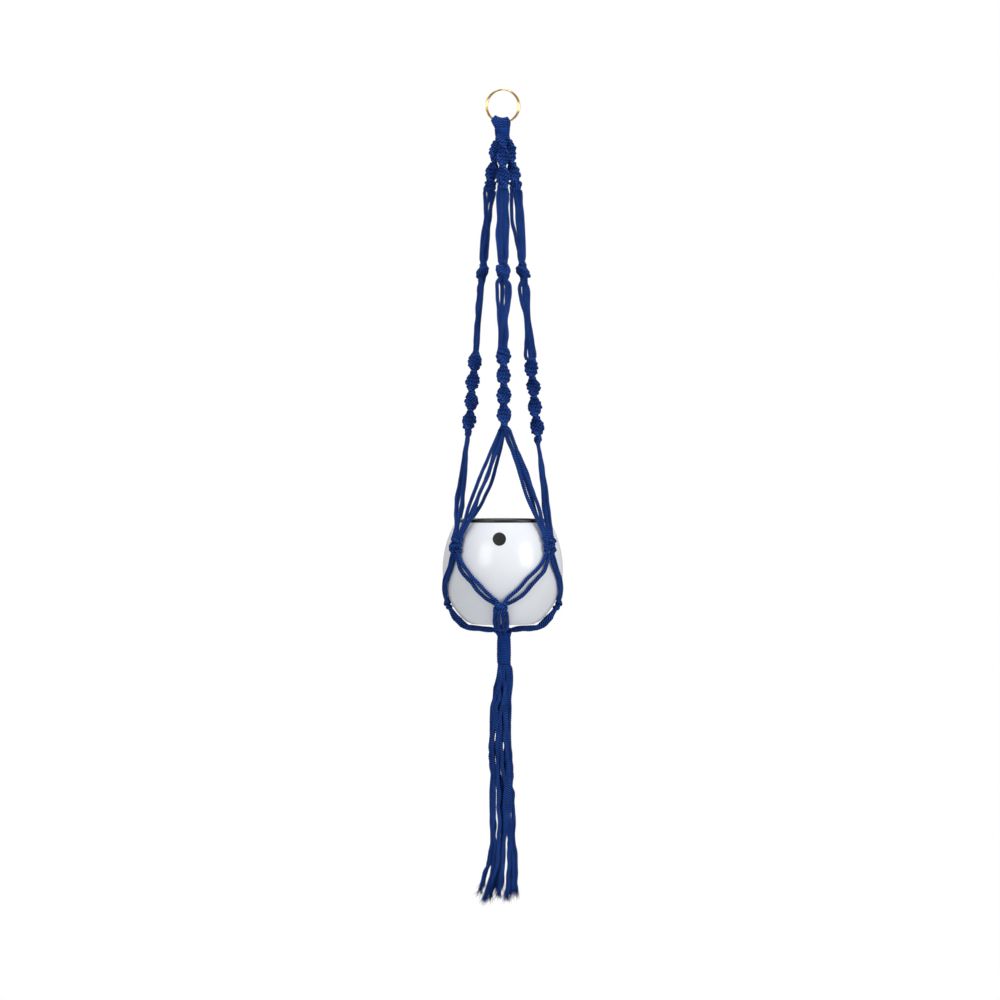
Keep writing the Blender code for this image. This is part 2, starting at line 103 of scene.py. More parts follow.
def twisted_cotton(name, deep, mid, painted_light, relief, groove=0.78):
    """Matt dyed cotton: plump plies with painted shade in the grooves between them and painted light on their
    crests, fine yarn lines across each ply, a halo of loose fibre that catches light at the edges, and dye
    that took unevenly along the cord. The deep colour is the painted shade, the light one the painted light,
    and groove is how strongly the crests and grooves are painted."""
    made, tree, surface = material(name)
    lay = add(tree, "UVMap", uv_map="lay").outputs["UV"]
    around = add(tree, "SeparateXYZ", {"Vector": lay}).outputs["X"]
    ply = add(tree, "Math", {0: around, 1: 3 * math.pi}, operation="MULTIPLY").outputs[0]
    ply = add(tree, "Math", {0: ply}, operation="COSINE").outputs[0]
    crest = add(tree, "Math", {0: add(tree, "Math", {0: ply}, operation="ABSOLUTE").outputs[0], 1: 1.1},
                operation="POWER").outputs[0]
    # Yarn lines 0.5 mm apart lean the other way from the plies
    yarns = add(tree, "Mapping", {"Vector": lay, "Rotation": (0, 0, 0.004), "Scale": (26.0, 420.0, 1.0)})
    fibre = add(tree, "TexNoise",
                {"Vector": yarns.outputs["Vector"], "Scale": 1.0, "Detail": 3.0}).outputs["Fac"]
    spot = add(tree, "TexCoord").outputs["Object"]
    dye = add(tree, "TexNoise", {"Vector": spot, "Scale": 45.0, "Detail": 2.0}).outputs["Fac"]
    # Painted shade and light: the grooves between the plies are darkened and the crests lightened, then the
    # yarn lines and the uneven dye add the cotton's own tone.
    shade_and_dye = add(tree, "Math", {0: crest, 1: groove, 2: 0.14 - 0.64 * groove},
               operation="MULTIPLY_ADD").outputs[0]
    shade_and_dye = add(tree, "Math", {0: fibre, 1: 0.50, 2: shade_and_dye}, operation="MULTIPLY_ADD").outputs[0]
    shade_and_dye = add(tree, "Math", {0: dye, 1: 0.34, 2: shade_and_dye}, operation="MULTIPLY_ADD").outputs[0]
    # The ramp's dark end is painted shade, its middle the dyed navy, and its light end painted light.
    colour = add(tree, "ValToRGB", {"Fac": shade_and_dye}, [(0.08, deep), (0.56, mid), (0.90, painted_light)]).outputs["Color"]
    rough = add(tree, "Math", {0: fibre, 1: 0.18, 2: 0.74}, operation="MULTIPLY_ADD").outputs[0]
    fine = add(tree, "Math", {0: fibre, 1: 0.5, 2: crest}, operation="MULTIPLY_ADD").outputs[0]
    bump = add(tree, "Bump", {"Height": fine, "Strength": 1.0, "Distance": relief}).outputs["Normal"]
    shader = add(tree, "BsdfPrincipled", {
        "Base Color": colour, "Roughness": rough, "Normal": bump, "IOR": 1.45,
        "Specular IOR Level": 0.12, "Sheen Weight": 0.09, "Sheen Roughness": 0.4,
        "Sheen Tint": linear("7F97DA")})
    tree.links.new(shader.outputs["BSDF"], surface)
    return made


def smooth_line(points, step):
    """A smooth line through the points, with a point every step along it."""
    points = np.array(points, float)
    at = np.concatenate([[0], np.cumsum(np.sqrt(np.linalg.norm(np.diff(points, axis=0), axis=1)))])
    slopes = np.gradient(points, at, axis=0)
    fine = np.linspace(0, at[-1], 40 * len(points))
    k = np.clip(np.searchsorted(at, fine, side="right") - 1, 0, len(at) - 2)
    gap = (at[k + 1] - at[k])[:, None]
    t = (fine - at[k])[:, None] / gap
    line = ((2 * t**3 - 3 * t**2 + 1) * points[k] + (t**3 - 2 * t**2 + t) * gap * slopes[k]
            + (3 * t**2 - 2 * t**3) * points[k + 1] + (t**3 - t**2) * gap * slopes[k + 1])
    run = np.concatenate([[0], np.cumsum(np.linalg.norm(np.diff(line, axis=0), axis=1))])
    stops = np.linspace(0, run[-1], max(round(run[-1] / step), 3) + 1)
    return np.stack([np.interp(stops, run, line[:, a]) for a in range(3)], axis=1)


def carried_frames(line, hint=(0.3, 0.9, 0.1), fixed=False):
    """Two directions square to the line at each point. They turn as little as they can along it, or
    keep to the hint where fixed."""
    ahead = np.gradient(line, axis=0)
    ahead /= np.linalg.norm(ahead, axis=1)[:, None]
    across = np.empty_like(line)
    last = np.array(hint, float)
    for i, way in enumerate(ahead):
        last = (np.array(hint, float) if fixed else last)
        last = last - way * last.dot(way)
        last /= np.linalg.norm(last)
        across[i] = last
    return across, np.cross(ahead, across)


def cord_mesh(name, line, radius, finish, seed, sides=12, flat=None, squeeze=1.0, lay=LAY, plump=0.34):
    """A twisted cord along the line, a little uneven, closed at both ends. Its three plies turn once in
    each lay, and plump is how far they stand out. Where flat is given, the section is pressed to squeeze
    of its width in that direction."""
    dice = np.random.default_rng(seed)
    across, up = carried_frames(line, flat if flat is not None else (0.3, 0.9, 0.1), flat is not None)
    count = len(line)
    lengths = np.concatenate([[0], np.cumsum(np.linalg.norm(np.diff(line, axis=0), axis=1))])
    knots = np.arange(0, lengths[-1] + 0.012, 0.006)
    size = radius * (1 + np.interp(lengths, knots, dice.normal(0, 0.03, len(knots))))
    place = np.linspace(0, 2 * math.pi, sides, endpoint=False)
    lobes = 1.08 - plump * (1 - np.abs(np.cos(1.5 * place)) ** 0.8)
    turn = (place - 2 * math.pi * lengths[:, None] / lay)[:, :, None]
    wide = (size[:, None] * lobes * (1 + dice.uniform(-0.015, 0.015, (count, sides))))[:, :, None]
    ring = (across[:, None] * np.cos(turn) * squeeze + up[:, None] * np.sin(turn)) * wide
    points = (line[:, None] + ring).reshape(-1, 3)
    i, j = np.meshgrid(np.arange(count - 1), np.arange(sides), indexing="ij")
    after = (j + 1) % sides
    faces = np.stack([i * sides + j, i * sides + after, (i + 1) * sides + after, (i + 1) * sides + j], -1)
    faces = faces.reshape(-1, 4).tolist()
    start, stop = lengths[i] * sides, lengths[i + 1] * sides
    spots = np.stack([np.stack([j, start], -1), np.stack([j + 1, start], -1), np.stack([j + 1, stop], -1),
                      np.stack([j, stop], -1)], 2).reshape(-1, 2) / sides
    ends = [list(range(sides))[::-1], list(range((count - 1) * sides, count * sides))]
    mesh = bpy.data.meshes.new(name)
    mesh.from_pydata(points.tolist(), [], faces + ends)
    tips = np.stack([np.tile(np.arange(sides) / sides, 2), np.repeat([0.0, lengths[-1]], sides)], 1)
    mesh.uv_layers.new(name="lay").data.foreach_set("uv", np.concatenate([spots, tips]).ravel())
    mesh.materials.append(finish)
    piece = bpy.data.objects.new(name, mesh)
    bpy.context.scene.collection.objects.link(piece)
    bpy.ops.object.select_all(action="DESELECT")
    piece.select_set(True)
    bpy.context.view_layer.objects.active = piece
    bpy.ops.object.mode_set(mode="EDIT")
    bpy.ops.mesh.select_all(action="SELECT")
    bpy.ops.mesh.normals_make_consistent(inside=False)
    bpy.ops.object.mode_set(mode="OBJECT")
    bpy.ops.object.shade_smooth()
    return piece


def restless(line, size, dice, calm=0.012):
    """The line with a slow random waver, as cord keeps from the ball. Its ends stay put."""
    lengths = np.concatenate([[0], np.cumsum(np.linalg.norm(np.diff(line, axis=0), axis=1))])
    knots = np.arange(-0.012, lengths[-1] + 0.024, 0.012)
    drift = [np.interp(lengths, knots, dice.normal(0, size, len(knots))) for _ in range(3)]
    kernel = np.hanning(13) / np.hanning(13).sum()
    drift = np.stack([np.convolve(np.pad(d, 6, mode="edge"), kernel, "valid") for d in drift], 1)
    fade = np.clip(np.minimum(lengths, lengths[-1] - lengths) / calm, 0, 1)[:, None]
    return line + drift * fade


cord_cotton = twisted_cotton("Navy_twisted_cotton", NAVY_PAINTED_SHADE, NAVY, NAVY_PAINTED_LIGHT, 0.0005)
fibre_cotton = twisted_cotton("Navy_frayed_cotton", NAVY_PAINTED_SHADE, NAVY, NAVY_PAINTED_LIGHT, 0.0002)

wrap_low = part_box("base_wrap")[0]
TUCK = 0.006                                      # the strands start this far up inside the wrap
tassel_top = wrap_low[2] + TUCK
tassel_reach = wrap_low[2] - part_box("tassel")[0][2]
# Half-width and drift of the whole tassel, in metres, at shares of the way down
TASSEL_SHARES = (0.0, 0.04, 0.10, 0.20, 0.30, 0.42, 0.50, 0.60, 0.70, 0.80, 0.90, 1.0)
TASSEL_HALF = (0.0078, 0.0106, 0.0122, 0.0128, 0.0140, 0.0154, 0.0160, 0.0162, 0.0164, 0.0172, 0.0200,
               0.0250)
TASSEL_DRIFT = (0.0016, 0.0022, 0.0008, -0.0022, -0.0032, -0.0026, -0.0010, -0.0008, -0.0002, 0.0008,
                -0.0004, -0.0050)
FIBRES, FIBRE_RADIUS = 64, 0.00032                # in each frayed end, drawn thick enough to be seen
PLY_OUT = CORD * 0.42                             # how far off the middle a fibre leaves the cord
dice = np.random.default_rng(41)
for k in range(16):
    # Three loose layers of five, six and five
    layer, place = (0, k) if k < 5 else (1, k - 5) if k < 11 else (2, k - 11)
    across = (place - (2.5 if layer == 1 else 2.0)) / 2.5 + dice.uniform(-0.06, 0.06)
    depth = (layer - 1) * 0.62 * math.sqrt(max(1 - across**2 * 0.7, 0)) + dice.uniform(-0.1, 0.1)
    cut = dice.uniform(-0.003, 0.015)
    swing, phase = dice.uniform(0.0002, 0.0010, 2), dice.uniform(0, 2 * math.pi, 2)
    swap = dice.uniform(-0.16, 0.16)
    route = [(0.0042 * across + 0.0010, 0.0042 * depth, tassel_top)]
    for share in np.linspace(0.02, 1, 15):
        half = np.interp(share, TASSEL_SHARES, TASSEL_HALF) - CORD / 2
        drift = np.interp(share, TASSEL_SHARES, TASSEL_DRIFT)
        loose = min(share * 4, 1)
        route.append((
            half * (across + swap * math.sin(3.0 * share)) + drift
            + loose * swing[0] * math.sin(13 * share + phase[0]),
            half * depth * 0.8 + loose * swing[1] * math.sin(11 * share + phase[1]),
            wrap_low[2] - share * (tassel_reach - TUCK - cut)))
    line = restless(smooth_line(route, 0.0009), 0.0011, dice)
    strand = cord_mesh(f"tassel_strand_{k + 1:02d}", line, CORD / 2 * 1.04, cord_cotton, 100 + k)
    # The frayed end: fibres that spring out of the cut plies
    tip, ahead = line[-1], line[-1] - line[-4]
    ahead /= np.linalg.norm(ahead)
    points, faces, lay = [], [], []
    for h in range(FIBRES):
        spin, spread = h * 2.4, dice.uniform(0.1, 1.0)
        side = np.cross(ahead, (math.cos(spin), math.sin(spin), 0.1))
        side /= np.linalg.norm(side)
        reach, curl = dice.uniform(0.005, 0.013), dice.normal(0, 0.0016, 3)
        base = tip - ahead * dice.uniform(0.001, 0.008) + side * PLY_OUT
        if dice.random() < 0.55:
            base = tip - ahead * 0.0012 + side * PLY_OUT * dice.random()
        for s in range(4):
            t = s / 3
            centre = base + ahead * reach * t + side * reach * 0.5 * spread * t**1.4 + curl * t * t
            thick = FIBRE_RADIUS * (1 - 0.75 * t)
            for c in range(3):
                bend = c * 2.094
                rim = side * math.cos(bend) + np.cross(ahead, side) * math.sin(bend)
                points.append(centre + thick * rim)
        first = h * 12
        for s in range(3):
            for c in range(3):
                a, b = first + s * 3 + c, first + s * 3 + (c + 1) % 3
                faces.append((a, b, b + 3, a + 3))
        faces += [(first + 2, first + 1, first), (first + 9, first + 10, first + 11)]
    mesh = bpy.data.meshes.new(f"tassel_fray_{k + 1:02d}")
    mesh.from_pydata([tuple(p) for p in points], [], faces)
    # The corners of each fibre take different places round the lay, so each corner gets a different share of
    # the cotton's painted crest light and painted groove shade.
    mesh.uv_layers.new(name="lay")
    uv = np.array([(0.2 + 0.05 * (corner.vertex_index % 3), mesh.vertices[corner.vertex_index].co.z)
                   for corner in mesh.loops])
    mesh.uv_layers["lay"].data.foreach_set("uv", uv.ravel())
    mesh.materials.append(fibre_cotton)
    fray = bpy.data.objects.new(mesh.name, mesh)
    bpy.context.scene.collection.objects.link(fray)
    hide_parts("tassel")
    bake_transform(strand)
    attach(fray, "tassel")


# Hanger strands: sixteen lengths of the same cord, four to an arm, run unbroken from the top wrap to the
# base wrap. They are tied by hand on the way: a half-knot spiral, a square knot, an overhand knot,
# a longer spiral, then square knots that share strands with the neighbouring arms round the pot.
ARMS = {"front": -90.0, "right": 0.0, "back": 90.0, "left": 180.0}
# Each pair of neighbours, and where round the pot the knot between them sits
NEIGHBOURS = [("front", "right", -42.0), ("right", "back", 42.0), ("back", "left", 138.0),
              ("left", "front", 222.0)]
# The way each arm faces at its first spiral, its collar, its middle knot and the start of its long spiral
FACING = {"front": (-50.0, -90.0, -90.0, -126.0), "right": (0.0, -70.0, -37.0, 25.0),
          "back": (156.0, 90.0, 100.0, 54.0), "left": (180.0, 250.0, 200.0, 205.0)}
R = CORD / 2
pot_low = np.array(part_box("pot")[0])
POT_RIM, POT_BELLY, POT_BASE, BELLY_HEIGHT = 0.0560, 0.0740, 0.0415, 0.0660
POT_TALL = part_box("pot_rim")[1][2] - pot_low[2]
WALL_GAP = 0.0009                                 # the cords lie this far off the enamel
ABREAST = 0.0021                                  # half the distance between two strands side by side
NUDGE = 0.0005                                    # how far a strand laid by hand strays


def outward(azimuth):
    """The level direction away from the axis, at degrees round from the right."""
    return np.array((math.cos(math.radians(azimuth)), math.sin(math.radians(azimuth)), 0.0))


def sideways(azimuth):
    """The level direction to the right of one who looks from outside at that azimuth."""
    return np.array((-math.sin(math.radians(azimuth)), math.cos(math.radians(azimuth)), 0.0))


def node_middle(node):
    """The middle of a CAD node's box."""
    low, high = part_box(node)
    return (np.array(low) + np.array(high)) / 2


def arm_line(arm, z):
    """The centre line of an arm, from the top wrap through its collar and middle knots."""
    collar, middle = node_middle(f"collar_knot_{arm}"), node_middle(f"mid_knot_{arm}")
    slope = (middle - collar) / (middle[2] - collar[2])
    if z <= collar[2]:
        return collar + slope * (z - collar[2])
    top = outward(ARMS[arm]) * 0.0072 + np.array((0, 0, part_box("top_wrap")[0][2]))
    share = (top[2] - z) / (top[2] - collar[2])
    return top + (collar - top) * share


def wall_point(azimuth, height, clear):
    """A point off the pot's wall, at an azimuth and a height over its base."""
    wide, tall = ((POT_BELLY - POT_BASE, BELLY_HEIGHT) if height < BELLY_HEIGHT
                  else (POT_BELLY - POT_RIM, POT_TALL - BELLY_HEIGHT))
    arc = (wide**2 + tall**2) / (2 * wide)
    level, grown = math.sqrt(arc**2 - (height - BELLY_HEIGHT) ** 2), (arc + clear) / arc
    out = outward(azimuth) * (POT_BELLY - arc + level * grown)
    return out + np.array((0, 0, pot_low[2] + BELLY_HEIGHT + (height - BELLY_HEIGHT) * grown))


def knot_point(top, low, facing, x, out, share, turn=0.0):
    """A point of a knot: x to its right, out to its front, and share of the way down it."""
    down = (low - top) / np.linalg.norm(low - top)
    side = sideways(facing) - down * sideways(facing).dot(down)
    side /= np.linalg.norm(side)
    front = np.cross(down, side)
    c, s = math.cos(turn), math.sin(turn)
    return top + (low - top) * share + (side * c - front * s) * x + (front * c + side * s) * out


# Over the fillers and under them, in half-widths, half-depths and shares of one half knot
OVER = ((-1, 0, 0), (-0.6, 0.72, 0.24), (0, 1, 0.42), (0.58, 0.8, 0.58), (0.85, 0.1, 0.8))
UNDER = ((1, 0, 0), (1.02, 0.6, 0.42), (0.75, -0.45, 0.62), (0, -1, 0.6), (-0.6, -0.3, 0.5),
         (-0.8, 0.3, 0.72))


def half_knots(strands, top, low, facing, count, wide, deep, square, turn=0.0):
    """Ties count half knots with the two outer strands round the two inner ones. All one way they
    make a spiral, which turns by turn at each knot. Every other one reversed, they make square knots."""
    left, inner_left, inner_right, right = strands
    for k in range(count):
        way = -1 if square and k % 2 else 1
        first, second = (left, right) if way > 0 else (right, left)
        for strand, passes in ((first, OVER), (second, UNDER)):
            for x, out, down in passes:
                strand.append(knot_point(top, low, facing, way * x * wide, out * deep,
                                         (k + down) / count, turn * (k + down)))
        left, right = right, left
        for strand, x in ((inner_left, -ABREAST), (inner_right, ABREAST)):
            strand.append(knot_point(top, low, facing, x, 0, (k + 0.5) / count, turn * (k + 0.5)))
    for strand, x in ((left, -wide), (right, wide)):
        strand.append(knot_point(top, low, facing, x, 0, 1, turn * count))
    return [left, inner_left, inner_right, right]


# Round the knot and through: half-widths, half-depths and half-heights from its middle
ROUND = ((0, 0, -1.55), (-0.5, -0.45, -0.85), (-0.95, -0.15, -0.05), (-0.65, 0.75, 0.5), (0.2, 1.05, 0.3),
         (0.92, 0.4, -0.3), (0.7, -0.7, -0.55), (-0.25, -0.95, -0.1), (-0.35, -0.3, 0.7), (0, 0, 1.55))


def overhand(strands, top, low, facing, way, wide, deep, tall):
    """All four strands go round once and through as one bundle, pulled tight."""
    middle, span = (top + low) / 2, np.linalg.norm(low - top)
    line = smooth_line([knot_point(top, low, facing, way * x * wide, out * deep, 0.5 + down * tall / span)
                        for x, out, down in ROUND], 0.0015)
    across, up = carried_frames(line, sideways(facing))
    picks = np.linspace(1, len(line) - 2, 24).astype(int)
    spots = ((-0.0021, 0.0018), (-0.0018, -0.0021), (0.0018, 0.0021), (0.0021, -0.0018))
    for strand, (x, y) in zip(strands, spots):
        for i in picks:
            strand.append(line[i] + across[i] * x + up[i] * y)
    return sorted(strands, key=lambda strand: float((strand[-1] - middle).dot(sideways(facing))))


def free_run(strands, arm, top, low, facings, rows, dice):
    """Strands that hang side by side between two knots, not quite straight."""
    for share, xs, outs in rows:
        z = top + (low - top) * share
        here, below = arm_line(arm, z), arm_line(arm, z - 0.01)
        facing = facings[0] + (facings[1] - facings[0]) * share**2.2
        for strand, x, out in zip(strands, xs, outs):
            nudge = dice.normal(0, NUDGE, 2)
            strand.append(knot_point(here, below, facing, x * 1e-3 + nudge[0], out * 1e-3 + nudge[1], 0))


# Per arm: collar half-width, middle knot's half-width and half-depth, where the long spiral starts and
# ends against its node, and how far the arm has swung to the right by its foot
HAND = {"front": (0.0050, 0.0052, 0.0046, -0.0028, 0.0000, 0.0018),
        "right": (0.0060, 0.0044, 0.0044, -0.0120, -0.0098, 0.0),
        "back": (0.0044, 0.0040, 0.0046, 0.0006, 0.0020, 0.0018),
        "left": (0.0060, 0.0040, 0.0034, -0.0044, -0.0026, 0.0)}
# Where the strands run between the knots: a share of the way down, then each strand's place to the right
# and to the front, in millimetres
UPPER_ROWS = {
    "front": [
        (0.08, (-5.6, -1.9, 1.9, 5.6), (0.2, 0.8, -0.4, 0.2)),
        (0.26, (-6.0, -1.8, 2.2, 5.8), (0.4, 0.9, -0.6, 0.1)),
        (0.45, (-5.4, -2.0, 1.8, 5.7), (-0.3, 1.0, 0.2, 0.4)),
        (0.62, (-5.8, -2.3, 2.1, 5.4), (0.3, -0.6, 1.1, 0.2)),
        (0.80, (-5.2, -1.5, 1.9, 5.3), (-0.4, 1.2, -0.2, 0.8)),
        (0.95, (-4.0, -1.4, 1.4, 4.0), (0.0, 1.4, -1.4, 0.4))],
    "right": [
        (0.06, (-6.6, -2.2, 1.4, 6.4), (-0.4, 0.8, -0.6, 0.2)),
        (0.22, (-7.4, -2.0, 2.2, 5.8), (-0.8, 1.0, -0.4, 0.5)),
        (0.45, (-7.2, -2.6, 2.2, 4.8), (-1.0, 1.0, 0.2, 0.8)),
        (0.62, (-6.4, -1.6, 2.4, 5.0), (-1.0, 0.8, 0.4, 1.2)),
        (0.80, (-5.6, -1.8, 1.7, 4.6), (-0.6, 1.4, -0.4, 1.0)),
        (0.95, (-3.9, -1.2, 1.4, 3.9), (0.0, 1.6, -1.6, 0.4))],
    "left": [
        (0.07, (-5.4, -0.8, 2.0, 5.0), (0.6, 1.0, -1.0, 0.2)),
        (0.20, (-4.6, -1.4, 1.8, 4.2), (0.2, 1.6, -1.6, 0.5)),
        (0.42, (-2.4, -1.9, 1.9, 2.4), (-1.9, 1.9, -1.9, 1.9)),
        (0.62, (-2.8, -1.6, 1.8, 2.8), (-2.0, 2.0, -1.8, 1.8)),
        (0.82, (-2.4, -2.0, 2.0, 2.4), (-3.0, 3.4, -2.6, 3.0)),
        (0.96, (-2.4, -1.8, 1.9, 2.4), (-1.6, 2.0, -2.0, 1.6))]}
UPPER_ROWS["back"] = UPPER_ROWS["left"]
LOWER_ROWS = {
    "front": [
        (0.05, (-7.0, -1.2, 4.8, 7.4), (0.6, -1.4, 0.8, -1.2)),
        (0.18, (-7.4, -1.2, 5.0, 7.6), (0.4, -1.8, 1.0, -1.6)),
        (0.36, (-5.2, -0.8, 3.6, 5.8), (0.6, -1.4, 0.8, -1.0)),
        (0.58, (-4.2, -1.6, 1.6, 4.2), (0.0, 0.8, -0.6, 0.4)),
        (0.80, (-4.0, -1.6, 1.7, 4.3), (0.2, 1.2, -1.0, 0.0)),
        (0.96, (-4.6, -1.7, 1.7, 4.6), (0.0, 0.4, -0.4, 0.0))],
    "right": [
        (0.06, (-6.6, -1.6, 3.2, 6.6), (-1.6, 0.0, 0.8, 1.2)),
        (0.20, (-6.8, -1.2, 3.0, 6.4), (-1.8, 0.0, 1.0, 1.0)),
        (0.38, (-4.8, -1.6, 1.6, 4.4), (-0.8, 0.8, -0.6, 0.4)),
        (0.58, (-3.9, -1.6, 1.7, 3.9), (-0.8, 1.0, -0.8, 0.6)),
        (0.80, (-2.8, -1.6, 1.7, 2.8), (-3.6, -0.8, 1.4, 3.8)),
        (0.97, (-2.6, -1.4, 1.4, 2.6), (-6.2, -1.2, 2.2, 6.0))],
    "left": [
        (0.06, (-5.2, -1.6, 2.2, 5.4), (0.6, 1.0, -0.8, 0.2)),
        (0.20, (-5.0, -1.0, 2.0, 4.8), (0.4, 1.2, -1.0, 0.2)),
        (0.38, (-4.6, -1.6, 1.6, 4.5), (0.0, 0.8, -0.6, 0.4)),
        (0.58, (-4.2, -1.8, 1.6, 4.1), (-0.9, 1.2, -0.9, 0.9)),
        (0.80, (-4.2, -1.6, 1.7, 4.3), (-1.2, 1.2, -1.0, 1.2)),
        (0.96, (-4.6, -1.7, 1.7, 4.6), (0.0, 0.4, -0.4, 0.0))],
    "back": [
        (0.05, (-7.4, -6.0, -4.8, 1.0), (0.0, 2.4, -2.4, 0.0)),
        (0.18, (-7.8, -6.0, -4.8, 1.0), (0.0, 2.4, -2.4, 0.0)),
        (0.36, (-5.2, -4.0, -2.8, 0.8), (0.0, 2.0, -2.0, 0.0)),
        (0.62, (-3.6, -1.6, 1.6, 3.6), (0.0, 1.0, -1.0, 0.0)),
        (0.96, (-4.2, -1.7, 1.7, 4.2), (0.0, 0.4, -0.4, 0.0))]}
# Half-width and half-depth of the two spirals, and how far they turn at each half knot
UPPER_SPIRAL, LONG_SPIRAL, SPIRAL_TURN = (0.0066, 0.0023), (0.0070, 0.0021), math.radians(36)
KNOT_PARTS = ("upper_twist", "collar_knot", "upper_cords", "mid_knot", "lower_cords", "lower_twist")
# Each strand's place where it leaves the top wrap: to the right and outwards from the arm's line
TOP_SPOTS = ((-0.0034, -0.0040), (-0.0016, -0.0018), (0.0016, -0.0018), (0.0034, -0.0040))
net, feet = {}, {}
for arm, azimuth in ARMS.items():
    dice = np.random.default_rng(int(azimuth) + 500)
    spiral, collar_way, flat, long_spiral = FACING[arm]
    collar, knot_wide, knot_deep, late_start, early_end, swung = HAND[arm]
    start = arm_line(arm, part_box("top_wrap")[0][2])
    strands = [[start + sideways(azimuth) * x + outward(azimuth) * out + np.array((0, 0, 0.0115))]
               for x, out in TOP_SPOTS]
    level = {part: (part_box(f"{part}_{arm}")[1][2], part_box(f"{part}_{arm}")[0][2]) for part in KNOT_PARTS}
    high, low = level["upper_twist"]
    strands = half_knots(strands, arm_line(arm, high + 0.0006), arm_line(arm, low + 0.001), spiral, 10,
                         *UPPER_SPIRAL, False, SPIRAL_TURN)
    high, low = level["collar_knot"]
    strands = half_knots(strands, arm_line(arm, high - 0.0002), arm_line(arm, low - 0.0004), collar_way,
                         2, collar, 0.0029, True)
    high, low = level["upper_cords"]
    free_run(strands, arm, high, low, (collar_way, flat), UPPER_ROWS[arm], dice)
    high, low = level["mid_knot"]
    strands = overhand(strands, arm_line(arm, high + 0.001), arm_line(arm, low - 0.001), flat,
                       -1 if arm in ("front", "right") else 1, knot_wide, knot_deep, 0.0066)
    high, low = level["lower_cords"]
    free_run(strands, arm, high, low + late_start, (flat, long_spiral), LOWER_ROWS[arm], dice)
    high, low = level["lower_twist"]
    feet[arm] = arm_line(arm, low + early_end) + np.array((swung, 0, 0))
    net[arm] = half_knots(strands, arm_line(arm, high + late_start) + np.array((swung * 0.3, 0, 0)),
                          feet[arm], long_spiral, 20, *LONG_SPIRAL, False, SPIRAL_TURN)

cross_height = node_middle("cross_knot_front_right")[2] - pot_low[2]
cradle_height = node_middle("cradle_knot_front")[2] - pot_low[2]
# The pairs fall from knot to knot: height over the base, and share of the way round to the next knot
FALL = ((0.0862, 0.0), (0.0775, 0.085), (0.0690, 0.195), (0.0610, 0.325), (0.0536, 0.455), (0.0465, 0.56),
        (0.0400, 0.665), (0.0356, 0.75), (0.0324, 0.82), (0.0306, 0.88))
# Half the gap between the two strands of a pair where it isn't the usual 2.8 mm, and how far a slack
# pair bows to the right
LEG_APART = {("front", -42.0): 0.0034, ("front", 222.0): 0.0042, ("back", 138.0): 0.0040,
             ("left", 138.0): 0.0040, ("back", 42.0): 0.0023}
LEG_BOW = {("back", 138.0): 0.0076, ("back", 42.0): 0.0040}
CRADLE_APART = {("front", -42.0): 0.0050, ("front", 222.0): 0.0032}
CRADLE_BEARING = {"front": -92.4, "right": 0.0, "back": 90.0, "left": 180.0}
# The knots between neighbours sit turned this far, towards the front and the back of the pot
CROSS_TURN = {-42.0: -16, 42.0: 16, 138.0: -16, 222.0: 16}


def knot_ends(azimuth, height, clear, half_long, lift=0.0):
    """The top and the foot of a knot that lies along the pot's wall, clear of it and lifted up it."""
    up = wall_point(azimuth, height + 0.004, clear) - wall_point(azimuth, height - 0.004, clear)
    up /= np.linalg.norm(up)
    centre = wall_point(azimuth, height + lift, clear)
    return centre + up * half_long, centre - up * half_long


hung = {}
for lower_arm, higher_arm, azimuth in NEIGHBOURS:
    dice = np.random.default_rng(int(azimuth) + 900)
    top, low = knot_ends(azimuth, cross_height, 0.0060, 0.0072)
    turned_way = azimuth + CROSS_TURN[azimuth]
    pair_a, pair_b = net[lower_arm][2:], net[higher_arm][:2]
    for pair, arm, way, ends in ((pair_a, lower_arm, 1, (-0.0058, -0.0020)),
                                 (pair_b, higher_arm, -1, (0.0020, 0.0058))):
        half, bow = LEG_APART.get((arm, azimuth), 0.0028), LEG_BOW.get((arm, azimuth), 0.0)
        for strand, rank, end in zip(pair, (-1, 1), ends):
            finish = knot_point(top, low, turned_way, end, 0.0004, -0.30)
            begin = feet[arm] + sideways(ARMS[arm]) * way * 0.0030
            for share in (0.05, 0.16, 0.3, 0.45, 0.6, 0.75, 0.9):
                apart = 0.0020 + (half - 0.0020) * math.sin(math.pi * share) ** 0.7
                lean = sideways(ARMS[arm]) * (1 - share) + sideways(azimuth) * share
                spot = begin + (finish - begin) * share + lean * rank * apart * (1 if share < 0.88 else 0)
                strand.append(spot + (bow * math.sin(math.pi * share), 0, 0) + dice.normal(0, NUDGE, 3))
            strand.append(finish)
    four = half_knots([*pair_a, *pair_b], top, low, turned_way, 2, 0.0068, 0.0031, True)
    for arm, pair, way in ((lower_arm, four[:2], -1), (higher_arm, four[2:], 1)):
        goal = CRADLE_BEARING[arm] + (360 if azimuth == 222.0 and arm == "front" else 0)
        half = CRADLE_APART.get((arm, azimuth), 0.0027)
        for k, (height, share) in enumerate(FALL):
            bearing = azimuth + (goal - azimuth) * share
            radius = np.linalg.norm(wall_point(bearing, height, R)[:2])
            before, after = FALL[max(k - 1, 0)], FALL[min(k + 1, len(FALL) - 1)]
            slope = np.array((math.radians(goal - azimuth) * (after[1] - before[1]) * radius,
                              after[0] - before[0]))
            slope /= np.linalg.norm(slope)
            apart = ABREAST + (half - ABREAST) * math.sin(math.pi * k / 9) ** 0.8
            shift = way * 0.0036 * max(1 - k / 3, 0) ** 1.5
            for strand, rank in zip(pair, (1, -1)):
                lateral = np.array((-slope[1], slope[0])) * rank * apart
                turned = math.degrees((lateral[0] + shift) / radius) + dice.normal(0, 0.22)
                strand.append(wall_point(bearing + turned, height + lateral[1] + dice.normal(0, 0.0002),
                                         R + WALL_GAP + max(1 - k / 2, 0) * 0.0014))
        hung.setdefault(arm, []).append((way, pair))

